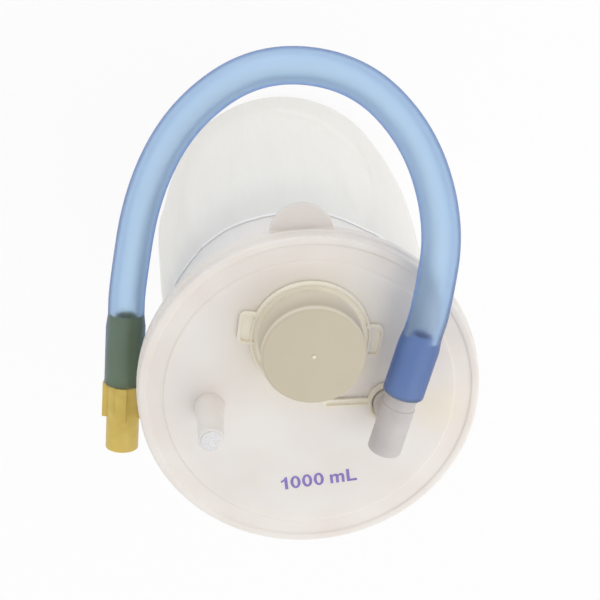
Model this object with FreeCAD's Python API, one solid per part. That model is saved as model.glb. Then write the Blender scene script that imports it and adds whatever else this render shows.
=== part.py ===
import FreeCAD, Part
import os
from math import sin, tan, sqrt, pi

V = FreeCAD.Vector
UP = V(0, 0, 1)

# Driving dimensions, millimetres
# The whole liner: the lid's plate stands this high over the flat bottom of the bag
liner_height = 165.0

# Lid, one polyethylene moulding
lid_wall = 1.6
lid_radius = 66.0
zone_width = 10.5
plateau_step = 0.6
zone_fall = 0.5
bead_width = 3.4
bead_rise = 0.6
skirt_drop = 10.5
skirt_lip_height = 4.2
skirt_lip_out = 0.6
seat_drop = 3.6
shoulder_depth = 0.9
spigot_radius = 53.2
spigot_drop = 12.0
plateau_round = 0.6
bead_foot_round = 0.8
bead_round = 1.0
small_round = 0.5
tab_radius = 12.0
tab_set_in = 2.0
tab_thickness = 1.5
tab_drop = 8.5

# Pour spout and its cap
spout_x = 1.0
spout_y = 25.4
spout_radius = 18.0
spout_wall = 1.6
spout_height = 6.2
cap_clearance = 0.2
cap_wall = 1.4
cap_height = 17.6
cap_edge_round = 1.3
cap_nub_radius = 0.7
cap_nub_height = 0.4
flange_width = 3.2
flange_thickness = 1.4
rib_width = 1.1
rib_height = 1.3
plate_gap = 0.3
wing_length = 4.4
wing_width = 12.5
wing_corner = 2.5
wing_turn = -11.0
wing_shift = 1.5
cap_foot_round = 0.6
rib_round = 0.3
strap_width = 2.8
strap_knee = 5.5
strap_drop = 5.6

# Patient port, the elbow in it and the tether ring round it
port_x = 29.9
port_y = -4.5
port_radius = 6.1
port_bore = 4.5
port_height = 5.0
port_groove = 0.35
port_groove_height = 1.6
valve_seat_drop = 3.0
turn_clearance = 0.08
ring_clearance = 0.3
ring_width = 1.8
elbow_height = 16.0
elbow_radius = 6.4
elbow_back = 13.4
elbow_reach = 12.0
elbow_collar = 5.2
elbow_collar_radius = 6.1
elbow_bore = 3.15
elbow_end_round = 1.6
collar_round = 0.25
stem_gap = 0.3
snap_gap = 0.3
barb_root = 5.5
barb_nose = 5.0
barb_length = 25.0
barb_tip_length = 3.0

# Flap valve under the port
flap_thickness = 0.8
flap_overlap = 1.2
flap_tail = 7.5
flap_tail_width = 6.0
stud_radius = 1.2
stud_head_radius = 2.1
stud_head_height = 1.0

# Vacuum stub and the filter plug in its mouth
vacuum_x = -38.5
vacuum_y = -1.5
stub_height = 26.5
stub_radius = 4.9
stub_foot_radius = 5.9
stub_foot_height = 10.0
stub_bore = 3.3
stub_round = 0.4
plug_radius = 4.0
plug_depth = 6.0
plug_proud = 0.3
plug_round = 0.3

# Film bag and the cuff of film round its neck
film = 0.5
film_gap = 0.1
belly_bulge = 2.7
foot_taper = 2.5
foot_height = 6.0
bag_lean = 17.5
seam_drop = 43.5
seam_tilt = 5.0
seam_bead = 0.7
seam_height = 1.4
film_edge_gap = 0.3
bottom_skim = 0.05

# Hose, and the connector on its far end
hose_radius = 7.2
hose_bore = 4.5
hose_stretch = 0.65
hose_cone = 5.0
hose_round = 0.5
bend_share = 0.45
connector_radius = 6.6
connector_length = 28.0
connector_bore = 3.9
connector_socket = 4.6
connector_socket_depth = 13.0
connector_edge = 0.6
connector_barb_root = 5.5
connector_barb_nose = 5.1
connector_barb_length = 29.0
fin_length = 14.2
fin_width = 4.4
fin_height = 1.7
fin_round = 0.5
fin_count = 4

# The hose's route, as steps from the elbow's mouth: its first run lies along the elbow's leg
hose_route = [
    (0.0, 0.0, 0.0),
    (11.0, 33.8, 0.0),
    (18.3, 61.1, -12.0),
    (12.3, 88.1, -36.0),
    (-8.7, 108.1, -55.0),
    (-43.7, 111.6, -64.0),
    (-73.7, 93.1, -65.0),
    (-92.2, 63.6, -61.0),
    (-101.2, 25.1, -56.0),
    (-105.7, -13.9, -52.0),
]

# Places worked out from those
plate_z = liner_height
spout = V(spout_x, spout_y, plate_z)
port = V(port_x, port_y, plate_z)
vacuum = V(vacuum_x, vacuum_y, plate_z)
leg_line = V(*hose_route[1]).sub(V(*hose_route[0])).normalize()
leg_centre = port + UP * elbow_height
mouth = leg_centre + leg_line * elbow_reach
route = [mouth + V(*step) for step in hose_route]
far_line = (route[-1] - route[-2]).normalize()
hose_end = route[-1]
shoulder_drop = seat_drop + shoulder_depth
neck_drop = shoulder_drop + film_edge_gap
bag_radius = spigot_radius + film
shoulder_radius = bag_radius + film_gap + film + film_edge_gap
belly_radius = bag_radius + belly_bulge
foot_radius = bag_radius - foot_taper
plateau_radius = lid_radius - zone_width
cap_inner = spout_radius + cap_clearance
cap_outer = cap_inner + cap_wall
flange_radius = cap_outer + flange_width
wing_reach = flange_radius + wing_length
ring_bore = port_radius + ring_clearance
ring_radius = ring_bore + ring_width
web_top = plate_gap + flange_thickness
rib_top = web_top + rib_height
stud_reach = port_radius + flap_tail - flap_tail_width / 2
barb_tip = (barb_nose + elbow_bore) / 2
connector_barb_tip = (connector_barb_nose + connector_bore) / 2


def cylinder(radius, height, base, line=UP):
    return Part.makeCylinder(radius, height, base, line)


def tube(outer, inner, height, base, line=UP):
    return cylinder(outer, height, base, line).cut(cylinder(inner, height, base, line))


def rounded_outline(points, radii):
    """A closed outline in the XZ plane, each corner rounded by its own radius."""
    count = len(points)
    corners = [V(x, 0, z) for x, z in points]
    edges = []
    starts = []
    ends = []
    middles = []
    for i, corner in enumerate(corners):
        radius = radii.get(i, 0.0)
        if radius == 0.0:
            starts.append(corner)
            ends.append(corner)
            middles.append(None)
            continue
        back = (corners[i - 1] - corner).normalize()
        ahead = (corners[(i + 1) % count] - corner).normalize()
        half = back.getAngle(ahead) / 2
        reach = radius / tan(half)
        bisector = (back + ahead).normalize()
        starts.append(corner + back * reach)
        ends.append(corner + ahead * reach)
        middles.append(corner + bisector * (radius / sin(half) - radius))
    for i in range(count):
        if middles[i] is not None:
            edges.append(Part.Arc(starts[i], middles[i], ends[i]).toShape())
        start, stop = ends[i], starts[(i + 1) % count]
        if start.distanceToPoint(stop) > 1e-6:
            edges.append(Part.LineSegment(start, stop).toShape())
    return Part.Wire(edges)


def turned(points, radii, base=V(0, 0, 0)):
    """A solid turned about the vertical line through base, from its section in radius and height."""
    face = Part.Face(rounded_outline(points, radii))
    solid = face.revolve(V(0, 0, 0), UP, 360)
    solid.translate(base)
    return solid


def along(solid, base, line):
    """Lays a solid that was turned about +Z along another line."""
    turn = FreeCAD.Rotation(UP, line)
    solid.Placement = FreeCAD.Placement(base, turn)
    return solid


def bar(start, stop, width, low, high):
    """A flat bar between two places on the plate, with round ends."""
    run = V(stop.x - start.x, stop.y - start.y, 0)
    side = V(-run.y, run.x, 0).normalize() * (width / 2)
    lift = V(0, 0, plate_z + low)
    corners = [start + side, stop + side, stop - side, start - side]
    corners = [V(corner.x, corner.y, 0) + lift for corner in corners]
    solid = Part.Face(Part.makePolygon(corners + corners[:1])).extrude(UP * (high - low))
    for end in (start, stop):
        solid = solid.fuse(cylinder(width / 2, high - low, V(end.x, end.y, 0) + lift))
    return solid


def lid_shell():
    """Plate, outward-falling zone, rolled bead, skirt with its lip, and the spigot under the plate."""
    skirt_radius = lid_radius - skirt_lip_out
    bead_inner = skirt_radius - bead_width
    zone_z = -plateau_step - zone_fall
    bead_top = zone_z + bead_rise
    lip_top = -skirt_drop + skirt_lip_height
    skirt_inner = skirt_radius - lid_wall
    section = [
        (0, 0),
        (plateau_radius, 0),
        (plateau_radius + plateau_step, -plateau_step),
        (bead_inner, zone_z),
        (bead_inner + bead_rise, bead_top),
        (skirt_radius, bead_top),
        (skirt_radius, lip_top + skirt_lip_out),
        (lid_radius, lip_top),
        (lid_radius, -skirt_drop),
        (skirt_inner, -skirt_drop),
        (skirt_inner, -seat_drop),
        (shoulder_radius, -seat_drop),
        (shoulder_radius, -shoulder_drop),
        (spigot_radius, -shoulder_drop),
        (spigot_radius, -spigot_drop),
        (spigot_radius - lid_wall, -spigot_drop),
        (spigot_radius - lid_wall, -lid_wall),
        (0, -lid_wall),
    ]
    bends = {1: plateau_round, 2: small_round, 3: bead_foot_round, 4: small_round}
    bends.update({5: bead_round, 8: small_round})
    return turned(section, bends, V(0, 0, plate_z))


def pull_tab():
    centre = V(0, lid_radius - tab_set_in, plate_z - tab_drop)
    tab = cylinder(tab_radius, tab_thickness, centre)
    inside = cylinder(lid_radius - skirt_lip_out - lid_wall / 2, tab_thickness, V(0, 0, centre.z))
    return tab.cut(inside)


def vacuum_stub():
    section = [
        (0, -lid_wall),
        (stub_foot_radius, -lid_wall),
        (stub_foot_radius, 0),
        (stub_radius, stub_foot_height),
        (stub_radius, stub_height),
        (0, stub_height),
    ]
    return turned(section, {4: stub_round}, vacuum)


def stub_passage():
    bore = cylinder(stub_bore, stub_height + lid_wall, vacuum - UP * lid_wall)
    return bore.fuse(cylinder(plug_radius, plug_depth, vacuum + UP * (stub_height - plug_depth)))


def flap_stud():
    """Mushroom stud under the plate, which the flap's tail is pressed over."""
    place = port - V(stud_reach, 0, 0)
    seat = valve_seat_drop
    boss = cylinder(stud_head_radius, seat - lid_wall, place - UP * seat)
    pin = cylinder(stud_radius, flap_thickness, place - UP * (seat + flap_thickness))
    head_z = seat + flap_thickness + stud_head_height
    head = Part.makeCone(stud_radius, stud_head_radius, stud_head_height, place - UP * head_z)
    return boss.fuse(pin).fuse(head)


def lid():
    body = lid_shell().fuse(pull_tab())
    body = body.fuse(cylinder(spout_radius, spout_height + lid_wall, spout - UP * lid_wall))
    body = body.fuse(cylinder(port_radius, port_height + valve_seat_drop, port - UP * valve_seat_drop))
    body = body.fuse(vacuum_stub()).fuse(flap_stud())
    body = body.cut(cylinder(spout_radius - spout_wall, spout_height + lid_wall, spout - UP * lid_wall))
    body = body.cut(cylinder(port_bore, port_height + valve_seat_drop, port - UP * valve_seat_drop))
    groove_z = (port_height - port_groove_height) / 2
    body = body.cut(cylinder(port_bore + port_groove, port_groove_height, port + UP * groove_z))
    return body.cut(stub_passage()).removeSplitter()


def bag_form(grow, foot_lift=0.0):
    """The bag's neck and its leaning body, grown outwards by a film's thickness."""
    neck_z = plate_z - spigot_drop
    neck = bag_radius + grow
    belly = belly_radius + grow
    foot = foot_radius + grow
    low = foot_lift
    bend = foot_height - foot_lift
    mid = bend * (1 - sqrt(0.5))
    side = Part.Arc(V(neck, 0, neck_z), V(belly, 0, neck_z / 2), V(foot, 0, foot_height))
    corner = Part.Arc(
        V(foot, 0, foot_height),
        V(foot - mid, 0, low + mid),
        V(foot - bend, 0, low),
    )
    bottom = Part.LineSegment(V(foot - bend, 0, low), V(0, 0, low))
    axis = Part.LineSegment(V(0, 0, low), V(0, 0, neck_z))
    top = Part.LineSegment(V(0, 0, neck_z), V(neck, 0, neck_z))
    wire = Part.Wire([shape.toShape() for shape in (side, corner, bottom, axis, top)])
    return Part.Face(wire).revolve(V(0, 0, 0), UP, 360)


def leaned(solid):
    """Slides each level of the bag's body sideways, more the lower it is."""
    neck_z = plate_z - spigot_drop
    share = bag_lean / neck_z
    matrix = FreeCAD.Matrix()
    matrix.A23 = -share
    matrix.A24 = share * neck_z
    return solid.transformGeometry(matrix)


def neck_band(outer, inner):
    top = plate_z - neck_drop
    base = V(0, 0, plate_z - spigot_drop)
    return tube(outer, inner, top - base.z, base)


def liner_bag():
    """The film bag, planed level underneath so that it stands on a flat face."""
    size = 3 * lid_radius
    floor = Part.makeBox(size, size, bag_lean, V(-size / 2, -size / 2, -bag_lean))
    body = leaned(bag_form(0, -bottom_skim)).cut(floor).cut(leaned(bag_form(-film, film)))
    return body.fuse(neck_band(bag_radius, spigot_radius))


def seam_slab(above, depth):
    """A block under the tilted plane of the cuff's lower edge."""
    size = 3 * lid_radius
    block = Part.makeBox(size, size, depth, V(-size / 2, -size / 2, above - depth))
    block.rotate(V(0, 0, 0), V(0, 1, 0), -seam_tilt)
    block.translate(V(0, 0, plate_z - seam_drop))
    return block


def film_cuff():
    inside = leaned(bag_form(film_gap))
    layer = leaned(bag_form(film_gap + film)).cut(seam_slab(0, liner_height))
    bead = leaned(bag_form(film_gap + film + seam_bead)).common(seam_slab(seam_height, seam_height))
    inner = bag_radius + film_gap
    return layer.fuse(bead).cut(inside).fuse(neck_band(inner + film, inner))


def wing(turn):
    """One finger wing of the cap: a shallow tray with a rib round its edge."""
    tray = wing_blank(wing_reach, wing_width, flange_thickness + rib_height, wing_corner)
    inner_width = wing_width - 2 * rib_width
    hollow = wing_blank(wing_reach - rib_width, inner_width, rib_height, wing_corner - rib_width)
    hollow.translate(UP * flange_thickness)
    tray = tray.cut(hollow)
    tray.rotate(V(0, 0, 0), UP, turn)
    tray.translate(spout + V(0, wing_shift, plate_gap))
    return tray


def wing_blank(reach, width, height, corner):
    inner = (flange_radius + spout_radius) / 2
    block = Part.makeBox(reach - inner, width, height, V(inner, -width / 2, 0))
    upright = [edge for edge in block.Edges if outer_upright(edge, reach)]
    return block.makeFillet(corner, upright)


def outer_upright(edge, reach):
    box = edge.BoundBox
    return box.XLength < 0.01 and box.YLength < 0.01 and box.XMax > reach - 0.01


def tether():
    """Strap and ring: a flat web with a rib along its edge, and the ring round the port's neck."""
    low = plate_gap
    ring_mid = (ring_bore + ring_radius) / 2
    start = V(port_x - ring_mid, port_y + ring_width / 2, 0)
    knee = V(spout_x + strap_knee, spout_y - flange_radius - strap_drop, 0)
    stop = V(spout_x, spout_y - (flange_radius + spout_radius) / 2, 0)
    shift = V(0, -(strap_width - rib_width) / 2, 0)
    strap = bar(start, knee, strap_width, low, web_top)
    strap = strap.fuse(bar(start + shift, knee + shift, rib_width, low, rib_top))
    strap = strap.fuse(bar(knee, stop, strap_width, low, web_top))
    ring = cylinder(ring_radius, flange_thickness, port + UP * low)
    rib = tube(ring_radius, ring_radius - rib_width, rib_top - low, port + UP * low)
    return strap.fuse(ring).fuse(rib).cut(cylinder(ring_bore, rib_top, port))


def pour_cap():
    roof = cap_height - cap_wall
    nub_top = cap_height + cap_nub_height
    section = [
        (0, nub_top),
        (cap_nub_radius, nub_top),
        (cap_nub_radius, cap_height),
        (cap_outer, cap_height),
        (cap_outer, web_top),
        (flange_radius - rib_width, web_top),
        (flange_radius - rib_width, rib_top),
        (flange_radius, rib_top),
        (flange_radius, plate_gap),
        (cap_inner, plate_gap),
        (cap_inner, roof),
        (0, roof),
    ]
    bends = {3: cap_edge_round, 4: cap_foot_round, 6: rib_round, 7: rib_round}
    body = turned(section, bends, spout)
    hollow = cylinder(cap_outer, cap_height, spout)
    for turn in (wing_turn, wing_turn + 180):
        body = body.fuse(wing(turn).cut(hollow))
    body = body.fuse(tether().cut(hollow))
    return body.removeSplitter()


def patient_elbow():
    """Round leg with a closed back, collar, barb, and the stem that turns in the lid's port."""
    back = leg_centre - leg_line * elbow_back
    leg = elbow_back + elbow_reach
    section = [
        (0, 0),
        (elbow_radius, 0),
        (elbow_radius, leg - elbow_collar),
        (elbow_collar_radius, leg - elbow_collar),
        (elbow_collar_radius, leg),
        (barb_root, leg),
        (barb_nose, leg + barb_length - barb_tip_length),
        (barb_tip, leg + barb_length),
        (0, leg + barb_length),
    ]
    body = along(turned(section, {1: elbow_end_round, 2: collar_round}), back, leg_line)
    foot_z = port_height + stem_gap
    stem = cylinder(elbow_collar_radius, elbow_height - foot_z, port + UP * foot_z)
    body = body.fuse(stem)
    pin = port_bore - turn_clearance
    body = body.fuse(cylinder(pin, foot_z + lid_wall, port - UP * lid_wall))
    snap_height = port_groove_height - 2 * snap_gap
    snap_z = (port_height - snap_height) / 2
    body = body.fuse(cylinder(pin + port_groove, snap_height, port + UP * snap_z))
    body = body.cut(cylinder(elbow_bore, elbow_height + lid_wall, port - UP * lid_wall))
    return body.cut(cylinder(elbow_bore, elbow_reach + barb_length, leg_centre, leg_line))


def route_corners():
    """Each inner place of the route with its neighbours and how far its bend reaches along them."""
    last = len(route) - 2
    for i in range(1, last + 1):
        before, corner, after = route[i - 1], route[i], route[i + 1]
        run_in = (corner - before).Length
        run_out = (after - corner).Length
        reach = bend_share * min(run_in, run_out)
        if i == 1:
            reach = min(reach, run_in - barb_length)
        if i == last:
            reach = min(reach, run_out - connector_barb_length)
        yield before, corner, after, reach


def bend_half(before, corner, after):
    return (before - corner).getAngle(after - corner) / 2


def route_edges(start):
    """Straight runs joined by tangent arcs, from the place given to the last bend's end."""
    edges = []
    for before, corner, after, reach in route_corners():
        back = (before - corner).normalize()
        ahead = (after - corner).normalize()
        half = bend_half(before, corner, after)
        radius = reach * tan(half)
        bend_start = corner + back * reach
        bend_stop = corner + ahead * reach
        middle = corner + (back + ahead).normalize() * (radius / sin(half) - radius)
        if start.distanceToPoint(bend_start) > 1e-6:
            edges.append(Part.LineSegment(start, bend_start).toShape())
        edges.append(Part.Arc(bend_start, middle, bend_stop).toShape())
        start = bend_stop
    return edges


def swept(radius):
    """The hose's curved part, between the two straight ends that sit on the barbs."""
    start = mouth + leg_line * barb_length
    ring = Part.Wire(Part.makeCircle(radius, start, leg_line))
    return Part.Wire(route_edges(start)).makePipeShell([ring], True, False)


def hose_end_piece(root, nose, tip, length, base, line):
    """A straight end of the hose, stretched over a barb and back to its own size."""
    wide = hose_radius + hose_stretch
    free = length - barb_tip_length + barb_tip_length * (nose - hose_bore) / (nose - tip)
    section = [
        (root, 0),
        (wide, 0),
        (wide, length - hose_cone),
        (hose_radius, length),
        (hose_bore, length),
        (hose_bore, free),
        (nose, length - barb_tip_length),
    ]
    return along(turned(section, {1: hose_round}), base, line)


def hose():
    body = swept(hose_radius).cut(swept(hose_bore))
    near = hose_end_piece(barb_root, barb_nose, barb_tip, barb_length, mouth, leg_line)
    far = hose_end_piece(
        connector_barb_root,
        connector_barb_nose,
        connector_barb_tip,
        connector_barb_length,
        hose_end,
        far_line * -1,
    )
    return body.fuse(near).fuse(far)


def hose_connector():
    """Barb, finned grip and the open socket at the free end, turned about the hose's last run."""
    barb_z = -connector_barb_length
    section = [
        (0, barb_z),
        (connector_barb_tip, barb_z),
        (connector_barb_nose, barb_z + barb_tip_length),
        (connector_barb_root, 0),
        (connector_radius, 0),
        (connector_radius, connector_length),
        (0, connector_length),
    ]
    body = turned(section, {5: connector_edge})
    for i in range(fin_count):
        fin = Part.makeBox(connector_radius + fin_height, fin_width, fin_length, V(0, -fin_width / 2, 0))
        top = [edge for edge in fin.Edges if fin_corner(edge)]
        fin = fin.makeFillet(fin_round, top)
        fin.rotate(V(0, 0, 0), UP, i * 360 / fin_count)
        body = body.fuse(fin)
    length = connector_barb_length + connector_length
    body = body.cut(cylinder(connector_bore, length, V(0, 0, barb_z)))
    socket_z = connector_length - connector_socket_depth
    body = body.cut(cylinder(connector_socket, connector_socket_depth, V(0, 0, socket_z)))
    return along(body, hose_end, far_line)


def fin_corner(edge):
    box = edge.BoundBox
    return box.XMin > connector_radius + fin_height - 0.01 and box.YLength < 0.01


def filter_plug():
    base = stub_height - plug_depth
    top = stub_height + plug_proud
    section = [(0, base), (plug_radius, base), (plug_radius, top), (0, top)]
    return turned(section, {2: plug_round}, vacuum)


def flap_valve():
    """Thin soft flap that closes the port from below, with its tail on the lid's stud."""
    base = port - UP * (valve_seat_drop + flap_thickness)
    disc = cylinder(port_bore + flap_overlap, flap_thickness, base)
    tail = cylinder(flap_tail_width / 2, flap_thickness, base - V(stud_reach, 0, 0))
    corner = base - V(stud_reach, flap_tail_width / 2, 0)
    web = Part.makeBox(stud_reach, flap_tail_width, flap_thickness, corner)
    flap = disc.fuse(tail).fuse(web)
    return flap.cut(cylinder(stud_radius, flap_thickness, base - V(stud_reach, 0, 0))).removeSplitter()


nodes = {
    "lid": lid,
    "liner_bag": liner_bag,
    "film_cuff": film_cuff,
    "pour_cap": pour_cap,
    "patient_elbow": patient_elbow,
    "hose": hose,
    "hose_connector": hose_connector,
    "filter_plug": filter_plug,
    "flap_valve": flap_valve,
}

os.makedirs("parts", exist_ok=True)
for name, make in nodes.items():
    shape = make()
    shape.exportStep("parts/" + name + ".step")
    print(name, len(shape.Solids), "solid", shape.isValid(), "volume", round(shape.Volume, 1))

curved = sum(edge.Length for edge in route_edges(mouth + leg_line * barb_length))
hose_length = barb_length + curved + connector_barb_length
section_area = pi * (hose_radius ** 2 - hose_bore ** 2)
print("hose length", round(hose_length, 1), "section x length", round(section_area * hose_length, 1))
for before, corner, after, reach in route_corners():
    print("bend radius", round(reach * tan(bend_half(before, corner, after)), 1))
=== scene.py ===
import math

import bmesh
import bpy
from mathutils import Matrix, Vector, noise


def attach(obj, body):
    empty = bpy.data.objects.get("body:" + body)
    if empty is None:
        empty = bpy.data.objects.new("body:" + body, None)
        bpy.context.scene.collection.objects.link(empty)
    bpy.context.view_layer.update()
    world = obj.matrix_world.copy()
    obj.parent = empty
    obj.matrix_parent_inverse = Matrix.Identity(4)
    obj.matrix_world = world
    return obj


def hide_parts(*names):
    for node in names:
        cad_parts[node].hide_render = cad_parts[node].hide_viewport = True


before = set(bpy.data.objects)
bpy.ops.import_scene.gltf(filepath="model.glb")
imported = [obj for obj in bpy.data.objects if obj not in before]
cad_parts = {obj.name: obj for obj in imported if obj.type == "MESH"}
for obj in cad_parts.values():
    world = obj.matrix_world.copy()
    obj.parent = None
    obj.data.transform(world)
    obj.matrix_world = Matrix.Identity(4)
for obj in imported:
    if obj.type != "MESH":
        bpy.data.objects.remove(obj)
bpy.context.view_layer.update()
MM = 0.001


# Camera: above the lid and a little towards the pull tab, as the photographer stood, so that the
# lid faces the lens and the bag runs away behind its upper edge.
camera_place = Vector((-35.5, 297.0, 719.8)) * MM
camera_right = Vector((0.99599, -0.04177, 0.07919))
camera_up = Vector((0.07106, 0.90700, -0.41513))
camera_back = Vector((-0.05448, 0.41910, 0.90631))

bpy.ops.object.camera_add(location=camera_place)
camera = bpy.context.object
camera.name = "photo_camera"
camera.rotation_euler = Matrix((camera_right, camera_up, camera_back)).transposed().to_euler()
camera.data.sensor_width = 36.0
camera.data.lens = 99.0
camera.data.clip_start = 0.01
camera.data.clip_end = 50.0
bpy.context.scene.camera = camera
bpy.context.scene.view_settings.view_transform = "Standard"


# Suction hose: soft clear PVC tinted blue, extruded, pushed over the elbow's barb at one end and
# over the yellow connector's barb at the other, and bent in one long arch between them.
def linear(hex_code):
    """A colour's hex code, as seen on a screen, turned to linear light."""
    channels = []
    for i in (0, 2, 4):
        value = int(hex_code[i:i + 2], 16) / 255
        channels.append(value / 12.92 if value <= 0.04045 else ((value + 0.055) / 1.055) ** 2.4)
    return (*channels, 1.0)


def add_node(material, kind, inputs=None, links=None, **settings):
    """Adds a node to a material with its properties, input values and links (input: node, output)."""
    node = material.node_tree.nodes.new(kind)
    for name, value in settings.items():
        setattr(node, name, value)
    for name, value in (inputs or {}).items():
        node.inputs[name].default_value = value
    for name, (source, output) in (links or {}).items():
        material.node_tree.links.new(source.outputs[output], node.inputs[name])
    return node


def join(material, source, output, target, name):
    material.node_tree.links.new(source.outputs[output], target.inputs[name])


def set_stops(ramp, *stops):
    """Gives a colour ramp its stops, each a place from 0 to 1 and a hex code."""
    elements = ramp.color_ramp.elements
    while len(elements) < len(stops):
        elements.new(1.0)
    for element, (place, hex_code) in zip(elements, stops):
        element.position = place
        element.color = linear(hex_code)


def new_material(name, **surface):
    """A material whose Principled shader has these values."""
    material = bpy.data.materials.new(name)
    material.use_nodes = True
    shader = material.node_tree.nodes["Principled BSDF"]
    for key, value in surface.items():
        shader.inputs[key.replace("_", " ")].default_value = value
    return material, shader


def select_only(piece):
    bpy.ops.object.select_all(action="DESELECT")
    piece.select_set(True)
    bpy.context.view_layer.objects.active = piece


def smooth(piece, angle=35.0):
    select_only(piece)
    bpy.ops.object.shade_smooth_by_angle(angle=math.radians(angle))


hose_outer = 7.2 * MM
hose_inner = 4.5 * MM
hose_stretch = 0.65 * MM
hose_cone = 5.0 * MM
hose_rim_round = 0.6 * MM
hose_ring_step = 1.2 * MM
hose_sides = 56
# Each barb: its length, its radius at the root and its radius at the nose
elbow_barb = (25.0 * MM, 5.5 * MM, 5.0 * MM)
connector_barb = (29.0 * MM, 5.5 * MM, 5.1 * MM)
barb_tip = 3.0 * MM
barb_grip = 0.15 * MM
# How far in from the hose's end the barbs' painted shade fades in
hose_shade_fade = 0.6 * MM
mouth = Vector((33.614, 6.911, 181.0)) * MM
# Steps in mm from the elbow's mouth. The second and the last but one keep the ends straight on the
# barbs.
hose_steps = [
    (0.0, 0.0, 0.0),
    (7.83, 24.06, 0.0),
    (11.0, 33.8, 0.0),
    (18.3, 61.1, -12.0),
    (12.3, 88.1, -36.0),
    (-8.7, 108.1, -55.0),
    (-43.7, 111.6, -64.0),
    (-73.7, 93.1, -65.0),
    (-92.2, 63.6, -61.0),
    (-101.2, 25.1, -56.0),
    (-102.3, 15.3, -55.0),
    (-105.7, -13.9, -52.0),
]


def smooth_line(points):
    """The points of a NURBS line, read back from a curve with no bevel."""
    curve = bpy.data.curves.new("line", "CURVE")
    curve.dimensions = "3D"
    curve.resolution_u = 24
    spline = curve.splines.new("NURBS")
    spline.points.add(len(points) - 1)
    for control, point in zip(spline.points, points):
        control.co = (*point, 1.0)
    spline.order_u = 3
    spline.use_endpoint_u = True
    holder = bpy.data.objects.new("line", curve)
    bpy.context.collection.objects.link(holder)
    bpy.context.view_layer.update()
    mesh = bpy.data.meshes.new_from_object(holder)
    line = [vertex.co.copy() for vertex in mesh.vertices]
    bpy.data.objects.remove(holder)
    return line


def distances(line):
    """How far along the line each of its points lies."""
    reached = [0.0]
    for start, stop in zip(line, line[1:]):
        reached.append(reached[-1] + (stop - start).length)
    return reached


def ring_frames(line, places):
    """The centre and two cross directions at each place along a line, with no twist between them."""
    reached = distances(line)
    last = len(line) - 1
    headings = [(line[min(i + 1, last)] - line[max(i - 1, 0)]).normalized() for i in range(last + 1)]
    side = headings[0].orthogonal().normalized()
    frames = []
    i = 0
    for place in places:
        while i < last - 1 and reached[i + 1] < place:
            i += 1
        share = (place - reached[i]) / (reached[i + 1] - reached[i])
        heading = headings[i].lerp(headings[i + 1], share).normalized()
        side = (side - heading * side.dot(heading)).normalized()
        frames.append((line[i].lerp(line[i + 1], share), side, heading.cross(side)))
    return frames


def end_radii(place, barb):
    """Outer and inner radius of the hose at a place measured from the end that sits on this barb."""
    length, root, nose = barb
    outer = hose_outer + hose_stretch * min(1.0, max(0.0, (length - place) / hose_cone))
    if place < hose_rim_round:
        outer -= hose_rim_round - math.sqrt(hose_rim_round ** 2 - (hose_rim_round - place) ** 2)
    straight = length - barb_tip
    inner = root + (nose - root) * min(1.0, place / straight) - barb_grip
    if place > straight:
        inner -= (nose - hose_inner) * (place - straight) / barb_tip
    return outer, max(inner, hose_inner)


hose_line = smooth_line([mouth + Vector(step) * MM for step in hose_steps])
hose_run = distances(hose_line)[-1]
rim_places = [0.0, 0.08 * MM, 0.25 * MM, hose_rim_round]
ring_count = round((hose_run - 2 * hose_rim_round) / hose_ring_step)
spread = (hose_run - 2 * hose_rim_round) / ring_count
hose_places = rim_places + [hose_rim_round + spread * (i + 1) for i in range(ring_count - 1)]
hose_places += [hose_run - place for place in reversed(rim_places)]

hose_mesh = bmesh.new()
uv_layer = hose_mesh.loops.layers.uv.new("hose_uv")
outer_rings = []
inner_rings = []
for place, (centre, side, top) in zip(hose_places, ring_frames(hose_line, hose_places)):
    if place < hose_run / 2:
        radii = end_radii(place, elbow_barb)
    else:
        radii = end_radii(hose_run - place, connector_barb)
    for rings, radius in zip((outer_rings, inner_rings), radii):
        turns = [2 * math.pi * i / hose_sides for i in range(hose_sides)]
        rings.append([
            hose_mesh.verts.new(centre + side * radius * math.cos(turn) + top * radius * math.sin(turn))
            for turn in turns
        ])
loops_in_order = outer_rings + inner_rings[::-1]
around = 2 * math.pi * hose_outer / MM
for row, (ring, following) in enumerate(zip(loops_in_order, loops_in_order[1:] + loops_in_order[:1])):
    for i in range(hose_sides):
        after = (i + 1) % hose_sides
        face = hose_mesh.faces.new((ring[i], ring[after], following[after], following[i]))
        rows = (row, row, row + 1, row + 1)
        columns = (i, i + 1, i + 1, i)
        for loop, down, across in zip(face.loops, rows, columns):
            along = down if down < len(outer_rings) else 2 * len(outer_rings) - 1 - down
            loop[uv_layer].uv = (around * across / hose_sides, hose_places[max(along, 0)] / MM)
bmesh.ops.recalc_face_normals(hose_mesh, faces=hose_mesh.faces)
mesh = bpy.data.meshes.new("suction_hose")
hose_mesh.to_mesh(mesh)
hose_mesh.free()
hose = bpy.data.objects.new("suction_hose", mesh)
bpy.context.collection.objects.link(hose)
smooth(hose, 50.0)

# Plasticised PVC lets light through and blurs it a little, and its tint deepens with the wall that
# the light crosses: pale down the middle of the hose and a stronger blue along both edges.
tinted_pvc, shader = new_material(
    "plasticised_pvc_tinted_blue",
    Transmission_Weight=1.0,
    IOR=1.48,
)
streak_width = 0.9  # mm, like the hose's UV map
streak_length = 40.0
place = add_node(tinted_pvc, "ShaderNodeTexCoord")
stretch = add_node(
    tinted_pvc,
    "ShaderNodeMapping",
    {"Scale": (1 / streak_width, 1 / streak_length, 1.0)},
    {"Vector": (place, "UV")},
)
streaks = add_node(
    tinted_pvc, "ShaderNodeTexNoise", {"Scale": 1.0, "Detail": 2.0}, {"Vector": (stretch, "Vector")}
)
bump = add_node(
    tinted_pvc,
    "ShaderNodeBump",
    {"Strength": 0.02, "Distance": 0.05 * MM},
    {"Height": (streaks, "Fac")},
)
join(tinted_pvc, bump, "Normal", shader, "Normal")
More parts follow.
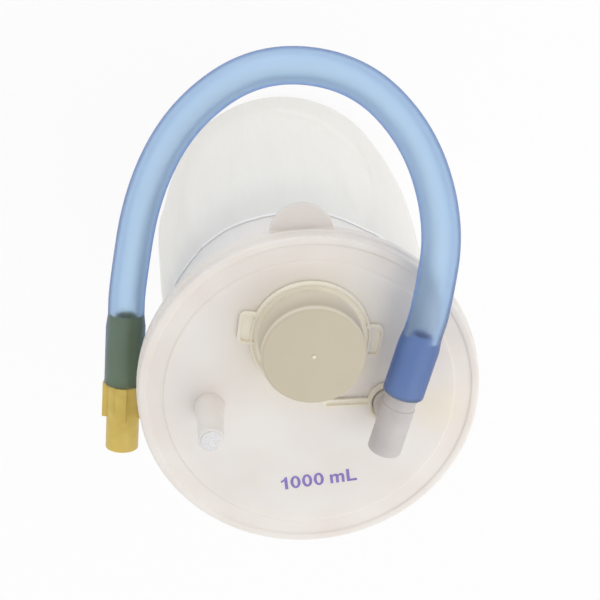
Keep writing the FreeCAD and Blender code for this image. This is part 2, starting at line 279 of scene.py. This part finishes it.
roughness = add_node(
    tinted_pvc,
    "ShaderNodeMapRange",
    {"To Min": 0.28, "To Max": 0.34},
    {"Value": (streaks, "Fac")},
)
join(tinted_pvc, roughness, "Result", shader, "Roughness")
facing = add_node(tinted_pvc, "ShaderNodeLayerWeight", {"Blend": 0.3})
wall_tint = add_node(tinted_pvc, "ShaderNodeValToRGB", links={"Fac": (facing, "Facing")})
set_stops(wall_tint, (0.25, "f4faff"), (0.75, "3c8af6"))
join(tinted_pvc, wall_tint, "Color", shader, "Base Color")
tint = add_node(
    tinted_pvc, "ShaderNodeVolumeAbsorption", {"Color": (0.10, 0.50, 0.87, 1.0), "Density": 98.0}
)
join(tinted_pvc, tint, "Volume", tinted_pvc.node_tree.nodes["Material Output"], "Volume")
hose.data.materials.append(tinted_pvc)
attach(hose, "elbow_body")
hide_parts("hose")


# Patient elbow: white polypropylene, injection moulded, with a closed back and a narrower collar
# before the hose. Its stem snaps into the lid's port and turns in it.
def merged_copy(node, name, body, angle=30.0):
    """A copy of a CAD node with its loose triangles merged, so that it shades smoothly."""
    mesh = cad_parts[node].data.copy()
    mesh.materials.clear()
    piece = bpy.data.objects.new(name, mesh)
    bpy.context.collection.objects.link(piece)
    select_only(piece)
    bpy.ops.object.mode_set(mode="EDIT")
    bpy.ops.mesh.select_all(action="SELECT")
    bpy.ops.mesh.remove_doubles(threshold=0.0005 * MM)
    bpy.ops.object.mode_set(mode="OBJECT")
    if piece.data.has_custom_normals:
        bpy.ops.mesh.customdata_custom_splitnormals_clear()
    smooth(piece, angle)
    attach(piece, body)
    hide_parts(node)
    return piece


def moulded_grain(material, shader, size, depth):
    """The fine texture that a mould leaves, as bump, and the coordinates that it uses."""
    place = add_node(material, "ShaderNodeTexCoord")
    grain = add_node(
        material, "ShaderNodeTexNoise", {"Scale": 1 / size, "Detail": 3.0}, {"Vector": (place, "Object")}
    )
    bump = add_node(
        material, "ShaderNodeBump", {"Strength": 0.5, "Distance": depth}, {"Height": (grain, "Fac")}
    )
    join(material, bump, "Normal", shader, "Normal")
    return place


white_pp, shader = new_material(
    "moulded_polypropylene_white",
    Roughness=0.42,
    IOR=1.49,
    Subsurface_Weight=0.15,
    Subsurface_Radius=(1.0, 0.9, 0.8),
    Subsurface_Scale=2.0 * MM,
)
place = moulded_grain(white_pp, shader, 0.5 * MM, 0.02 * MM)
cloud = add_node(white_pp, "ShaderNodeTexNoise", {"Scale": 1 / (9 * MM)}, {"Vector": (place, "Object")})
shade = add_node(white_pp, "ShaderNodeValToRGB", links={"Fac": (cloud, "Fac")})
set_stops(shade, (0.3, "c0b9b8"), (0.7, "c9c3c1"))
# Painted shade: the part of the barb inside the hose is painted a dull blue, for the light that reaches
# it through the blue hose.
elbow_axis = (Vector(hose_steps[2]) - Vector(hose_steps[0])).normalized()
along = add_node(
    white_pp, "ShaderNodeVectorMath", {1: elbow_axis}, {0: (place, "Object")}, operation="DOT_PRODUCT"
)
in_hose = add_node(
    white_pp,
    "ShaderNodeMapRange",
    {"From Min": mouth.dot(elbow_axis), "From Max": mouth.dot(elbow_axis) + hose_shade_fade},
    {"Value": (along, "Value")},
)
painted_hose_shade = add_node(
    white_pp,
    "ShaderNodeMix",
    {7: linear("8fa3cf")},
    {0: (in_hose, "Result"), 6: (shade, "Color")},
    data_type="RGBA",
)
join(white_pp, painted_hose_shade, 2, shader, "Base Color")

elbow = merged_copy("patient_elbow", "elbow_moulding", "elbow_body")
elbow.data.materials.append(white_pp)

# The gate's stub, left where the plastic entered the mould, near the middle of the closed back
gate_radius = 0.75 * MM
gate_height = 0.35 * MM
gate_rise = 1.2 * MM
mouth_to_back = 25.4
elbow_back = mouth - elbow_axis * mouth_to_back * MM
bpy.ops.object.select_all(action="DESELECT")
bpy.ops.mesh.primitive_cylinder_add(
    vertices=32,
    radius=gate_radius,
    depth=2 * gate_height,
    location=elbow_back + Vector((0, 0, gate_rise)),
    rotation=elbow_axis.to_track_quat("Z", "Y").to_euler(),
)
gate = bpy.context.object
gate.name = "elbow_gate_mark"
bpy.ops.object.transform_apply(location=True, rotation=True, scale=True)
bevel = gate.modifiers.new("worn_edge", "BEVEL")
bevel.width = 0.12 * MM
bevel.segments = 3
bpy.ops.object.modifier_apply(modifier=bevel.name)
smooth(gate)
gate_shade, shader = new_material("gate_stub_polypropylene", Base_Color=linear("b9afa9"), Roughness=0.6)
moulded_grain(gate_shade, shader, 0.3 * MM, 0.03 * MM)
gate.data.materials.append(gate_shade)
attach(gate, "elbow_body")


# Hose connector: yellow polypropylene with four grip fins, an open socket at the free end and a
# long barb that shows through the hose.
yellow_pp, shader = new_material(
    "moulded_polypropylene_yellow",
    Roughness=0.38,
    IOR=1.49,
    Subsurface_Weight=0.12,
    Subsurface_Radius=(1.0, 0.7, 0.3),
    Subsurface_Scale=1.5 * MM,
)
place = moulded_grain(yellow_pp, shader, 0.6 * MM, 0.02 * MM)
cloud = add_node(yellow_pp, "ShaderNodeTexNoise", {"Scale": 1 / (7 * MM)}, {"Vector": (place, "Object")})
shade = add_node(yellow_pp, "ShaderNodeValToRGB", links={"Fac": (cloud, "Fac")})
set_stops(shade, (0.3, "d0b456"), (0.7, "dcc264"))
# Painted shade: the part of the barb inside the hose is painted a dull olive green, for the light that
# reaches it through the blue hose.
hose_end = mouth + Vector(hose_steps[-1]) * MM
connector_axis = (Vector(hose_steps[-1]) - Vector(hose_steps[-3])).normalized()
along = add_node(
    yellow_pp,
    "ShaderNodeVectorMath",
    {1: connector_axis},
    {0: (place, "Object")},
    operation="DOT_PRODUCT",
)
in_hose = add_node(
    yellow_pp,
    "ShaderNodeMapRange",
    {"From Min": hose_end.dot(connector_axis), "From Max": hose_end.dot(connector_axis) - hose_shade_fade},
    {"Value": (along, "Value")},
)
painted_hose_shade = add_node(
    yellow_pp,
    "ShaderNodeMix",
    {7: linear("989e6c")},
    {0: (in_hose, "Result"), 6: (shade, "Color")},
    data_type="RGBA",
)
join(yellow_pp, painted_hose_shade, 2, shader, "Base Color")

connector = merged_copy("hose_connector", "connector_moulding", "elbow_body")
connector.data.materials.append(yellow_pp)


# Lid: one injection moulding in milky low-density polyethylene, with the plate, the falling outer
# zone, the rolled rim, the pull tab, the pour spout, the patient port and the vacuum stub.
plate_z = 165.0 * MM
cap_centre = Vector((1.0, 25.4, 165.0)) * MM
# Centre of the painted pool of light beside the port
light_pool_centre = Vector((49.5, -9.0, 165.0)) * MM
# Where the rim ends and the pull tab starts, along Y
tab_start = 65.6 * MM
tab_whole = 66.3 * MM

milky_pe, shader = new_material(
    "moulded_polyethylene_milky",
    Roughness=0.36,
    IOR=1.51,
    Subsurface_Weight=0.35,
    Subsurface_Radius=(1.0, 0.92, 0.8),
    Subsurface_Scale=3.5 * MM,
)
place = moulded_grain(milky_pe, shader, 1.1 * MM, 0.03 * MM)
cloud = add_node(milky_pe, "ShaderNodeTexNoise", {"Scale": 1 / (28 * MM)}, {"Vector": (place, "Object")})
plate_shade = add_node(milky_pe, "ShaderNodeValToRGB", links={"Fac": (cloud, "Fac")})
set_stops(plate_shade, (0.35, "e6dfd9"), (0.65, "ebe6e1"))


def spot(centre, clear, full):
    """How near a place is to a centre: 1 within the full distance, falling to 0 at the clear one."""
    away = add_node(
        milky_pe, "ShaderNodeVectorMath", {1: centre}, {0: (place, "Object")}, operation="DISTANCE"
    )
    return add_node(
        milky_pe,
        "ShaderNodeMapRange",
        {"From Min": clear, "From Max": full},
        {"Value": (away, "Value")},
        interpolation_type="SMOOTHSTEP",
    )


def tinted(below, amount, strength, hex_code):
    """Lays a tint over the colour below, as much as amount times strength."""
    share = add_node(milky_pe, "ShaderNodeMath", {1: strength}, {0: (amount, 0)}, operation="MULTIPLY")
    return add_node(
        milky_pe,
        "ShaderNodeMix",
        {7: linear(hex_code)},
        {0: (share, "Value"), 6: below},
        data_type="RGBA",
    )


# Painted light on the plate: a warm tint round the cap is painted reflected light from the cap, and
# beside the port lies a painted pool of the light that the hose bends
cap_light_bounce = tinted((plate_shade, "Color"), spot(cap_centre, 38 * MM, 21 * MM), 0.35, "efe6d3")
painted_light_pool = tinted((cap_light_bounce, 2), spot(light_pool_centre, 17 * MM, 0.0), 0.35, "e4d4ae")
parts = add_node(milky_pe, "ShaderNodeSeparateXYZ", links={"Vector": (place, "Object")})
# Painted shade: from where it starts, the pull tab is painted greyer than the rim.
tab_shade_mask = add_node(
    milky_pe,
    "ShaderNodeMapRange",
    {"From Min": tab_start, "From Max": tab_whole},
    {"Value": (parts, "Y")},
)
tab_painted_shade = tinted((painted_light_pool, 2), tab_shade_mask, 0.9, "d6d0cc")
join(milky_pe, tab_painted_shade, 2, shader, "Base Color")

lid = merged_copy("lid", "lid_moulding", "lid_body", 25.0)
lid.data.materials.append(milky_pe)


# Capacity mark: the plain figure of the bag's contents, pad printed in purple ink on the plate,
# where it reads from the side away from the pull tab.
mark_start = Vector((-12.6, -40.7, 0.0)) * MM
mark_end = Vector((17.0, -38.8, 0.0)) * MM
mark_height = 5.6 * MM
ink_thickness = 0.06 * MM

# Outlines in capital heights: a bold one, zero, small m and capital L
one = [
    (0.24, 0.0), (0.46, 0.0), (0.46, 1.0), (0.30, 1.0), (0.24, 0.87), (0.14, 0.79), (0.0, 0.74),
    (0.0, 0.57), (0.13, 0.62), (0.24, 0.70),
]
small_m = [
    (0.0, 0.0), (0.20, 0.0), (0.20, 0.40), (0.22, 0.52), (0.29, 0.58), (0.37, 0.57), (0.41, 0.50),
    (0.41, 0.0), (0.61, 0.0), (0.61, 0.42), (0.64, 0.53), (0.71, 0.58), (0.79, 0.56), (0.82, 0.48),
    (0.82, 0.0), (1.02, 0.0), (1.02, 0.50), (1.00, 0.63), (0.93, 0.72), (0.82, 0.75), (0.69, 0.73),
    (0.59, 0.64), (0.52, 0.72), (0.41, 0.75), (0.28, 0.72), (0.19, 0.63), (0.19, 0.73), (0.0, 0.73),
]
capital_l = [(0.0, 0.0), (0.72, 0.0), (0.72, 0.18), (0.22, 0.18), (0.22, 1.0), (0.0, 1.0)]
zero_half = (0.36, 0.51)
zero_hole = (0.15, 0.34)
zero_sides = 28


def oval(half_width, half_height):
    turns = [2 * math.pi * i / zero_sides for i in range(zero_sides)]
    return [
        (zero_half[0] + half_width * math.cos(turn), 0.5 + half_height * math.sin(turn))
        for turn in turns
    ]


zero = [oval(*zero_half), oval(*zero_hole)]
# Each character: how far along it starts, and its outlines
characters = [
    (0.0, [one]),
    (0.66, zero),
    (1.49, zero),
    (2.32, zero),
    (3.48, [small_m]),
    (4.66, [capital_l]),
]
figure = bpy.data.curves.new("capacity_mark", "CURVE")
figure.dimensions = "2D"
figure.fill_mode = "BOTH"
figure.extrude = 0.5
for left, outlines in characters:
    for outline in outlines:
        spline = figure.splines.new("POLY")
        spline.points.add(len(outline) - 1)
        for control, (x, y) in zip(spline.points, outline):
            control.co = (left + x, y, 0.0, 1.0)
        spline.use_cyclic_u = True
mark = bpy.data.objects.new("capacity_mark", figure)
bpy.context.collection.objects.link(mark)
select_only(mark)
bpy.ops.object.convert(target="MESH")
low = Vector([min(vertex.co[i] for vertex in mark.data.vertices) for i in range(3)])
high = Vector([max(vertex.co[i] for vertex in mark.data.vertices) for i in range(3)])
run = mark_end - mark_start
wide = run.length / (high.x - low.x)
tall = mark_height / (high.y - low.y)
fit = Matrix.Diagonal((wide, tall, ink_thickness, 1.0))
turn = Matrix.Rotation(math.atan2(run.y, run.x), 4, "Z")
place_on_plate = Matrix.Translation(mark_start + Vector((0, 0, plate_z)))
mark.data.transform(place_on_plate @ turn @ fit @ Matrix.Translation(Vector((-low.x, -low.y, 0))))

purple_ink, shader = new_material("pad_printing_ink_purple", Roughness=0.5)
place = add_node(purple_ink, "ShaderNodeTexCoord")
patches = add_node(
    purple_ink, "ShaderNodeTexNoise", {"Scale": 1 / (0.8 * MM)}, {"Vector": (place, "Object")}
)
shade = add_node(purple_ink, "ShaderNodeValToRGB", links={"Fac": (patches, "Fac")})
set_stops(shade, (0.3, "7d69b4"), (0.7, "8f7cc4"))
join(purple_ink, shade, "Color", shader, "Base Color")
mark.data.materials.append(purple_ink)
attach(mark, "lid_body")


# Pour cap: cream polyethylene, one moulding with its flange rib, two finger wings, the tether strap
# and the ring round the port. It pushes over the spout.
# The colour runs with height and is partly painted light: the web and flange are painted almost white,
# partly for the thin plastic that light passes through and partly as painted light against the shade
# that falls there, the side darkens upwards as painted shade, and the light bands round the face's edge
# are painted highlights. The heights between which the colour stops lie: just under the web and just
# over the cap's face
stops_low_z = 164.7 * MM
stops_high_z = 183.6 * MM

cream_pe, shader = new_material(
    "moulded_polyethylene_cream",
    Roughness=0.40,
    IOR=1.51,
    Subsurface_Weight=0.2,
    Subsurface_Radius=(1.0, 0.8, 0.5),
    Subsurface_Scale=2.5 * MM,
)
place = moulded_grain(cream_pe, shader, 0.8 * MM, 0.025 * MM)
parts = add_node(cream_pe, "ShaderNodeSeparateXYZ", links={"Vector": (place, "Object")})
height = add_node(
    cream_pe,
    "ShaderNodeMapRange",
    {"From Min": stops_low_z, "From Max": stops_high_z},
    {"Value": (parts, "Z")},
)
shade = add_node(cream_pe, "ShaderNodeValToRGB", links={"Fac": (height, "Result")})
set_stops(
    shade,
    (0.0, "fdf5e4"),
    (0.12, "fdf6e7"),
    (0.22, "dfd8cb"),
    (0.78, "b9ae9b"),
    (0.90, "e2dacb"),
    (0.945, "c0b6a0"),
    (0.965, "ece5d6"),
)
cloud = add_node(cream_pe, "ShaderNodeTexNoise", {"Scale": 1 / (12 * MM)}, {"Vector": (place, "Object")})
cloud_share = add_node(cream_pe, "ShaderNodeMath", {1: 0.25}, {0: (cloud, "Fac")}, operation="MULTIPLY")
mottled = add_node(
    cream_pe,
    "ShaderNodeMix",
    {7: linear("d4c9b0")},
    {0: (cloud_share, "Value"), 6: (shade, "Color")},
    data_type="RGBA",
)
join(cream_pe, mottled, 2, shader, "Base Color")

cap = merged_copy("pour_cap", "cap_moulding", "cap_body")
cap.data.materials.append(cream_pe)


# Filter plug: a rod of white sintered polyethylene beads pressed into the stub's mouth. It is
# porous, so its face is matt and a little brighter than the lid.
sintered_pe, shader = new_material("sintered_polyethylene_white", Roughness=0.8, IOR=1.51)
bead_size = 0.45 * MM
place = add_node(sintered_pe, "ShaderNodeTexCoord")
beads = add_node(
    sintered_pe, "ShaderNodeTexVoronoi", {"Scale": 1 / bead_size}, {"Vector": (place, "Object")}
)
bump = add_node(
    sintered_pe,
    "ShaderNodeBump",
    {"Strength": 0.5, "Distance": 0.12 * MM},
    {"Height": (beads, "Distance")},
)
join(sintered_pe, bump, "Normal", shader, "Normal")
shade = add_node(sintered_pe, "ShaderNodeValToRGB", links={"Fac": (beads, "Distance")})
set_stops(shade, (0.2, "ebeaeb"), (0.8, "d8d6d6"))
join(sintered_pe, shade, "Color", shader, "Base Color")

plug = merged_copy("filter_plug", "filter_plug_rod", "lid_body")
plug.data.materials.append(sintered_pe)


# Flap valve: a thin silicone flap under the port, held by its tail on the lid's stud. It keeps its
# plain solid, since the lid hides it.
silicone, shader = new_material(
    "die_cut_silicone", Base_Color=linear("dcdcd8"), Roughness=0.55, IOR=1.41
)
moulded_grain(silicone, shader, 0.4 * MM, 0.02 * MM)
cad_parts["flap_valve"].material_slots[0].material = silicone


# Film bag: a tube of thin polyethylene film, blown, welded to the lid's spigot above and closed
# with a round welded bottom. Its side is nearly smooth, with long soft creases from the packing.
bag_top_z = 160.0 * MM
bag_neck_z = 153.0 * MM
bag_neck = 53.7 * MM
bag_foot = 51.2 * MM
bag_bulge = 3.8 * MM
foot_bend = 6.0 * MM
bag_lean = 17.5 * MM
bag_sides = 288
bag_rings = 150
# The film is tight on the spigot and at the bottom. Between, it waves broadly and finely.
loose_below_neck = 22 * MM
loose_above_foot = 12 * MM
broad_wave = 0.9 * MM
fine_wave = 0.35 * MM
# Each crease runs on past both ends by a share of its length, and fades out over a share of it
crease_overrun = 0.1
crease_fade = 0.3
crease_reach = 4
# Each crease: angle and height (mm) where it starts and where it ends, how high it stands and how
# wide it is (mm). The first seven are those that the photo shows.
creases = [
    (75.7, 33.1, 49.4, 70.2, 0.8, 2.2),
    (100.5, 23.3, 69.3, 40.4, 0.7, 2.4),
    (106.0, 8.0, 107.5, 66.0, 0.6, 1.6),
    (136.4, 10.7, 145.3, 78.5, 0.6, 2.0),
    (53.5, 37.2, 50.4, 76.6, 0.6, 1.8),
    (69.7, 64.4, 61.3, 111.8, 0.6, 2.6),
    (109.8, 47.0, 115.1, 120.3, 0.5, 2.0),
    (20.0, 26.0, 6.0, 95.0, 0.7, 2.2),
    (-22.0, 34.0, -36.0, 122.0, 0.6, 2.2),
    (-62.0, 18.0, -75.0, 108.0, 0.7, 2.0),
    (-98.0, 42.0, -84.0, 84.0, 0.7, 2.4),
    (-122.0, 14.0, -111.0, 92.0, 0.6, 2.0),
    (-152.0, 50.0, -140.0, 131.0, 0.6, 2.2),
    (172.0, 20.0, 164.0, 102.0, 0.7, 2.0),
]


def faded(share):
    share = min(1.0, max(0.0, share))
    return share * share * (3 - 2 * share)


def crease_height(turn, z):
    """How far the creases lift the film at an angle and a height, in metres."""
    lift = 0.0
    for start_turn, start_z, end_turn, end_z, high, wide in creases:
        across = (turn - start_turn + 180) % 360 - 180
        step = Vector((math.radians(across) * bag_neck / MM, z / MM - start_z))
        whole = Vector((math.radians(end_turn - start_turn) * bag_neck / MM, end_z - start_z))
        share = step.dot(whole) / whole.length_squared
        if -crease_overrun < share < 1 + crease_overrun:
            off = (step - whole * share).length
            if off < crease_reach * wide:
                ends = faded((share + crease_overrun) / crease_fade)
                ends *= faded((1 + crease_overrun - share) / crease_fade)
                lift += high * MM * ends * math.exp(-(off / wide) ** 2)
    return lift


def film_point(turn, radius, z, lift):
    """A place on the bag's film at an angle in degrees, with its waves, creases and lean."""
    a = math.radians(turn)
    loose = faded((bag_neck_z - z) / loose_below_neck) * faded(z / loose_above_foot)
    broad = noise.noise(Vector((1.8 * math.cos(a), 1.8 * math.sin(a), z / (60 * MM))))
    fine = noise.noise(Vector((9 * math.cos(a), 9 * math.sin(a), z / (75 * MM))))
    lift += loose * (broad_wave * broad + fine_wave * fine + crease_height(turn, z))
    lean = bag_lean * max(0.0, bag_neck_z - z) / bag_neck_z
    reach = radius + lift * min(1.0, radius / bag_foot)
    return Vector((reach * math.cos(a), reach * math.sin(a) + lean, z))


def bag_side(z):
    """Radius of the bag's side at a height. The bulge is fullest a third of the way up."""
    share = min(1.0, (z - foot_bend) / (bag_neck_z - foot_bend))
    fullness = share * (1 - share) ** 2 * 27 / 4
    return bag_foot + (bag_neck - bag_foot) * share + bag_bulge * fullness


def bag_outline(run):
    """Radius and height at a distance down the film from its upper edge to the bottom's middle."""
    side_run = bag_top_z - foot_bend
    if run <= side_run:
        z = bag_top_z - run
        return bag_side(z), z
    turn = (run - side_run) / foot_bend
    if turn <= math.pi / 2:
        return bag_foot - foot_bend * (1 - math.cos(turn)), foot_bend * (1 - math.sin(turn))
    return max(0.0, bag_foot - foot_bend * (1 - math.pi / 2) - (run - side_run)), 0.0


def film_tube(name, sides, rings, shape):
    """An open tube of film. Each vertex goes where shape puts it, from its angle and how far down."""
    bpy.ops.object.select_all(action="DESELECT")
    bpy.ops.mesh.primitive_cylinder_add(
        vertices=sides, radius=1.0, depth=1.0, end_fill_type="NOTHING", location=(0, 0, -0.5)
    )
    tube = bpy.context.object
    tube.name = name
    bpy.ops.object.transform_apply(location=True, rotation=False, scale=False)
    bpy.ops.object.mode_set(mode="EDIT")
    edges = bmesh.from_edit_mesh(tube.data)
    for edge in edges.edges:
        edge.select_set(abs(edge.verts[0].co.z - edge.verts[1].co.z) > 0.5)
    bmesh.update_edit_mesh(tube.data)
    bpy.ops.mesh.subdivide(number_cuts=rings - 1)
    bpy.ops.object.mode_set(mode="OBJECT")
    for vertex in tube.data.vertices:
        turn = math.degrees(math.atan2(vertex.co.y, vertex.co.x))
        vertex.co = shape(turn, -vertex.co.z)
    return tube


def bag_shape(turn, share):
    radius, z = bag_outline(share * bag_run)
    return film_point(turn, radius, z, 0.0)


bag_run = bag_top_z - foot_bend + foot_bend * math.pi / 2 + bag_foot - foot_bend
bag = film_tube("film_bag", bag_sides, bag_rings, bag_shape)
select_only(bag)
bpy.ops.object.mode_set(mode="EDIT")
bpy.ops.mesh.select_all(action="SELECT")
bpy.ops.mesh.remove_doubles(threshold=0.01 * MM)
bpy.ops.mesh.normals_make_consistent(inside=False)
bpy.ops.object.mode_set(mode="OBJECT")
smooth(bag, 60.0)


def blown_film(name, hex_code, face_share, edge_share):
    """Thin milky polyethylene film: nearly opaque, and denser still where it is seen edge on."""
    material, shader = new_material(name, Base_Color=linear(hex_code), Roughness=0.34, IOR=1.51)
    place = add_node(material, "ShaderNodeTexCoord")
    stretch = add_node(
        material, "ShaderNodeMapping", {"Scale": (1.0, 1.0, 0.06)}, {"Vector": (place, "Object")}
    )
    lines = add_node(
        material,
        "ShaderNodeTexNoise",
        {"Scale": 1 / (1.6 * MM), "Detail": 2.0},
        {"Vector": (stretch, "Vector")},
    )
    bump = add_node(
        material, "ShaderNodeBump", {"Strength": 0.15, "Distance": 0.08 * MM}, {"Height": (lines, "Fac")}
    )
    join(material, bump, "Normal", shader, "Normal")
    facing = add_node(material, "ShaderNodeLayerWeight", {"Blend": 0.35})
    dense = add_node(
        material,
        "ShaderNodeMapRange",
        {"To Min": face_share, "To Max": edge_share},
        {"Value": (facing, "Facing")},
    )
    streaks = add_node(
        material, "ShaderNodeMapRange", {"To Min": -0.02, "To Max": 0.02}, {"Value": (lines, "Fac")}
    )
    alpha = add_node(
        material,
        "ShaderNodeMath",
        links={0: (dense, "Result"), 1: (streaks, "Result")},
        operation="ADD",
        use_clamp=True,
    )
    join(material, alpha, "Value", shader, "Alpha")
    return material


bag.data.materials.append(blown_film("blown_polyethylene_film", "f3f1eb", 0.88, 0.98))
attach(bag, "lid_body")
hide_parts("liner_bag")


# Film cuff: a second layer of the same film round the bag's upper part. It ends below in a welded
# bead that runs a little aslant and catches the light.
plate_over_seam = 43.5 * MM
seam_slope = math.tan(math.radians(5.0))
cuff_air = 0.35 * MM
bead_thick = 0.8 * MM
bead_proud = 0.15 * MM
bead_flat = 0.4
bead_tall = 1.3
bead_sides = 12
cuff_rings = 44


def seam_z(turn):
    return plate_z - plate_over_seam + seam_slope * bag_neck * math.cos(math.radians(turn))


def cuff_shape(turn, share):
    z = bag_top_z + (seam_z(turn) - bag_top_z) * share
    return film_point(turn, bag_side(z), z, cuff_air)


def bead_place(turn):
    z = seam_z(turn)
    return film_point(turn, bag_side(z), z, cuff_air + bead_proud)


cuff = film_tube("film_cuff_layer", bag_sides, cuff_rings, cuff_shape)
smooth(cuff, 60.0)
cuff.data.materials.append(blown_film("blown_polyethylene_film_cuff", "fcf8f4", 0.88, 0.97))
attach(cuff, "lid_body")
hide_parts("film_cuff")

bpy.ops.object.select_all(action="DESELECT")
bpy.ops.mesh.primitive_torus_add(
    major_segments=bag_sides, minor_segments=bead_sides, major_radius=bag_neck, minor_radius=bead_thick
)
bead = bpy.context.object
bead.name = "cuff_weld_bead"
for vertex in bead.data.vertices:
    turn = math.degrees(math.atan2(vertex.co.y, vertex.co.x))
    outward = Vector((math.cos(math.radians(turn)), math.sin(math.radians(turn)), 0))
    off = math.hypot(vertex.co.x, vertex.co.y) - bag_neck
    vertex.co = bead_place(turn) + outward * off * bead_flat + Vector((0, 0, vertex.co.z * bead_tall))
smooth(bead, 60.0)
weld_bead, shader = new_material(
    "welded_polyethylene_bead", Base_Color=linear("fefdfc"), Roughness=0.28, IOR=1.51
)
moulded_grain(weld_bead, shader, 0.9 * MM, 0.05 * MM)
bead.data.materials.append(weld_bead)
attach(bead, "lid_body")


# Studio: a pale floor that runs out of sight, a white surround, a soft lamp over the near right side,
# where the photo's light comes from, and one low behind that lights the bag.
floor_size = 8.0
floor_white = 0.88
bright_side = Vector((0.78, -0.42, 0.46)).normalized()
far_light = 0.46
near_light = 1.12


def sees_white(owner):
    """A node that gives 1 to rays from the camera, off gloss or through the hose, and 0 to others."""
    rays = add_node(owner, "ShaderNodeLightPath")
    seen = add_node(
        owner,
        "ShaderNodeMath",
        links={0: (rays, "Is Camera Ray"), 1: (rays, "Is Glossy Ray")},
        operation="MAXIMUM",
    )
    return add_node(
        owner,
        "ShaderNodeMath",
        links={0: (seen, "Value"), 1: (rays, "Is Transmission Ray")},
        operation="MAXIMUM",
    )


bpy.ops.object.select_all(action="DESELECT")
bpy.ops.mesh.primitive_plane_add(size=floor_size)
floor = bpy.context.object
floor.name = "studio_floor"
paper, shader = new_material("studio_paper_white", Base_Color=linear("f2f2f2"), Roughness=0.9)
white_share = add_node(
    paper, "ShaderNodeMath", {1: floor_white}, {0: (sees_white(paper), "Value")}, operation="MULTIPLY"
)
white = add_node(paper, "ShaderNodeEmission", {"Color": (1.0, 1.0, 1.0, 1.0), "Strength": 1.0})
mixed = add_node(
    paper,
    "ShaderNodeMixShader",
    links={0: (white_share, "Value"), 1: (shader, "BSDF"), 2: (white, "Emission")},
)
join(paper, mixed, "Shader", paper.node_tree.nodes["Material Output"], "Surface")
floor.data.materials.append(paper)

world = bpy.data.worlds.new("studio_surround")
bpy.context.scene.world = world
world.use_nodes = True
surround = world.node_tree.nodes["Background"]
surround.inputs["Color"].default_value = (1.0, 1.0, 1.0, 1.0)
way = add_node(world, "ShaderNodeTexCoord")
toward = add_node(
    world, "ShaderNodeVectorMath", {1: bright_side}, {0: (way, "Generated")}, operation="DOT_PRODUCT"
)
slope = add_node(
    world,
    "ShaderNodeMapRange",
    {"From Min": -1.0, "To Min": far_light, "To Max": near_light},
    {"Value": (toward, "Value")},
)
strength = add_node(
    world, "ShaderNodeMix", {3: 1.0}, {0: (sees_white(world), "Value"), 2: (slope, "Result")}
)
join(world, strength, 0, surround, "Strength")


def soft_lamp(name, place, target, size, power):
    bpy.ops.object.light_add(type="AREA", location=place)
    lamp = bpy.context.object
    lamp.name = name
    lamp.data.shape = "DISK"
    lamp.data.size = size
    lamp.data.energy = power
    lamp.rotation_euler = (Vector(target) - Vector(place)).to_track_quat("-Z", "Y").to_euler()


soft_lamp("right_softbox", (0.40, -0.28, 0.85), (0.0, 0.0, 0.15), 0.9, 1.1)
soft_lamp("back_fill", (-0.35, 1.05, 0.10), (0.0, 0.0, 0.08), 0.9, 3.1)
